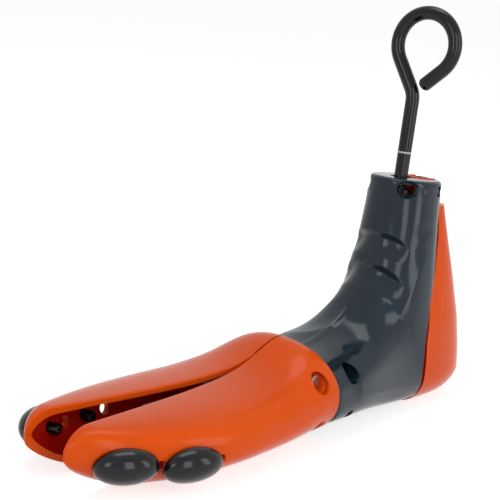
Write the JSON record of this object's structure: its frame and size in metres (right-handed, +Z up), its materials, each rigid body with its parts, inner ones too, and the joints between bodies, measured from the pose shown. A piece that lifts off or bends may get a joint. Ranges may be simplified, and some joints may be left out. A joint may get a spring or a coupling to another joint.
{
  "type": "shoe stretcher",
  "caption": "Adjustable shoe stretcher: hook screw swings a heel lever, split toe halves open on a sliding neck and carry push-in bump plugs.",
  "frame": {"origin": "on the sole plane, in the middle plane, under the middle of the heel", "axes": "+Z up, +X towards the toe, +Y towards the left half, the near side in the picture"},
  "size_m": [0.3067, 0.1094, 0.2336],
  "materials": {
    "body_plastic": "gloss moulded plastic",
    "shell_plastic": "gloss moulded plastic",
    "plug_plastic": "gloss moulded plastic",
    "black_plastic": "satin moulded plastic",
    "black_steel": "gloss black coated steel",
    "steel": "zinc plated"
  },
  "bodies": {
    "base": {"left_body_shell": "body_plastic", "right_body_shell": "body_plastic", "body_screws": "steel", "thread_nut": "steel", "heel_hinge_pin": "steel", "heel_return_spring": "steel", "neck_stem": "black_plastic", "spreader_wedge": "black_plastic", "wedge_pin": "steel"},
    "drive": {"drive_wedge": "black_plastic", "thrust_washer": "steel"},
    "hook": {"hook_rod": "black_steel", "retaining_clip": "steel"},
    "heel": {"heel_lever": "shell_plastic"},
    "toe_slider": {"toe_carriage": "black_plastic", "toe_pivot_pins": "steel", "toe_return_springs": "steel"},
    "left_toe": {"left_toe_half": "shell_plastic", "left_toe_frame": "black_plastic", "left_toe_screws": "steel"},
    "right_toe": {"right_toe_half": "shell_plastic", "right_toe_frame": "black_plastic", "right_toe_screws": "steel"},
    "left_front_bump": {"left_front_plug": "plug_plastic"},
    "left_rear_bump": {"left_rear_plug": "plug_plastic"},
    "right_front_bump": {"right_front_plug": "plug_plastic"},
    "right_rear_bump": {"right_rear_plug": "plug_plastic"}
  },
  "joints": [
    {"name": "screw_travel", "type": "slide", "parent": "base", "child": "drive", "axis": [0.0872, 0, -0.9962], "range_m": [-0.0019, 0.01205]},
    {"name": "hook_turn", "type": "hinge", "parent": "drive", "child": "hook", "pos_m": [0.028, 0, 0.135], "axis": [0.0872, 0, -0.9962], "range_deg": [-540, 3456]},
    {"name": "heel_swing", "type": "hinge", "parent": "base", "child": "heel", "pos_m": [0.0085, 0, 0.127], "axis": [0, 1, 0], "range_deg": [-1.08, 6.87]},
    {"name": "toe_slide", "type": "slide", "parent": "base", "child": "toe_slider", "axis": [1, 0, 0], "range_m": [0, 0.007]},
    {"name": "left_toe_swing", "type": "hinge", "parent": "toe_slider", "child": "left_toe", "pos_m": [0.136, 0.013, 0.025], "axis": [0, 0, 1], "range_deg": [-5.92, 0]},
    {"name": "right_toe_swing", "type": "hinge", "parent": "toe_slider", "child": "right_toe", "pos_m": [0.136, -0.013, 0.025], "axis": [0, 0, 1], "range_deg": [0, 5.92]},
    {"name": "left_front_plug_pull", "type": "slide", "parent": "left_toe", "child": "left_front_bump", "axis": [0.4758, 0.8796, 0], "range_m": [0, 0.013]},
    {"name": "left_rear_plug_pull", "type": "slide", "parent": "left_toe", "child": "left_rear_bump", "axis": [0.2184, 0.9759, 0], "range_m": [0, 0.013]},
    {"name": "right_front_plug_pull", "type": "slide", "parent": "right_toe", "child": "right_front_bump", "axis": [0.4758, -0.8796, 0], "range_m": [0, 0.013]},
    {"name": "right_rear_plug_pull", "type": "slide", "parent": "right_toe", "child": "right_rear_bump", "axis": [0.2184, -0.9759, 0], "range_m": [0, 0.013]}
  ],
  "couplings": [
    {"joint": "screw_travel", "follows": "hook_turn", "m_per_rad": 0.00019894},
    {"joint": "heel_swing", "follows": "hook_turn", "ratio": 0.0019826},
    {"joint": "left_toe_swing", "follows": "toe_slide", "rad_per_m": -14.711},
    {"joint": "right_toe_swing", "follows": "toe_slide", "rad_per_m": 14.711}
  ]
}
